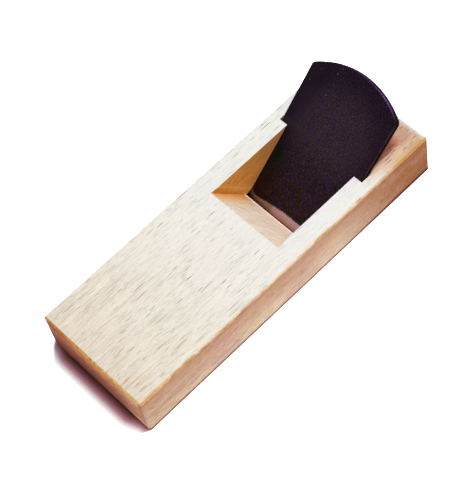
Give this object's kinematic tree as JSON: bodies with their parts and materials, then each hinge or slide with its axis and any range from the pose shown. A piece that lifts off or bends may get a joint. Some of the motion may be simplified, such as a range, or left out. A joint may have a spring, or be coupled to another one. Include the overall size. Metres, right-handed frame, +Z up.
{
  "type": "hand plane",
  "caption": "Small Japanese pull plane: pale hardwood block with a sloping throat and a tapered forged blade wedged in side grooves, without chip breaker or pin.",
  "frame": {"origin": "centre of the sole, on the surface that the plane rests on", "axes": "+X runs along the block from the leading toe end to the struck head end, +Y across it, +Z up from the sole"},
  "size_m": [0.16, 0.057, 0.0456],
  "materials": {
    "hardwood": "planed smooth, no varnish",
    "forged_iron": "dark forge scale, satin",
    "hard_steel": "dark ground hollow, bright honed land"
  },
  "bodies": {
    "dai": {"dai_block": "hardwood"},
    "blade": {"blade_iron": "forged_iron", "blade_steel": "hard_steel"}
  },
  "joints": [
    {"name": "blade_slide", "type": "slide", "parent": "dai", "child": "blade", "axis": [0.7809, 0, 0.6247], "range_m": [-0.001, 0.045]}
  ]
}
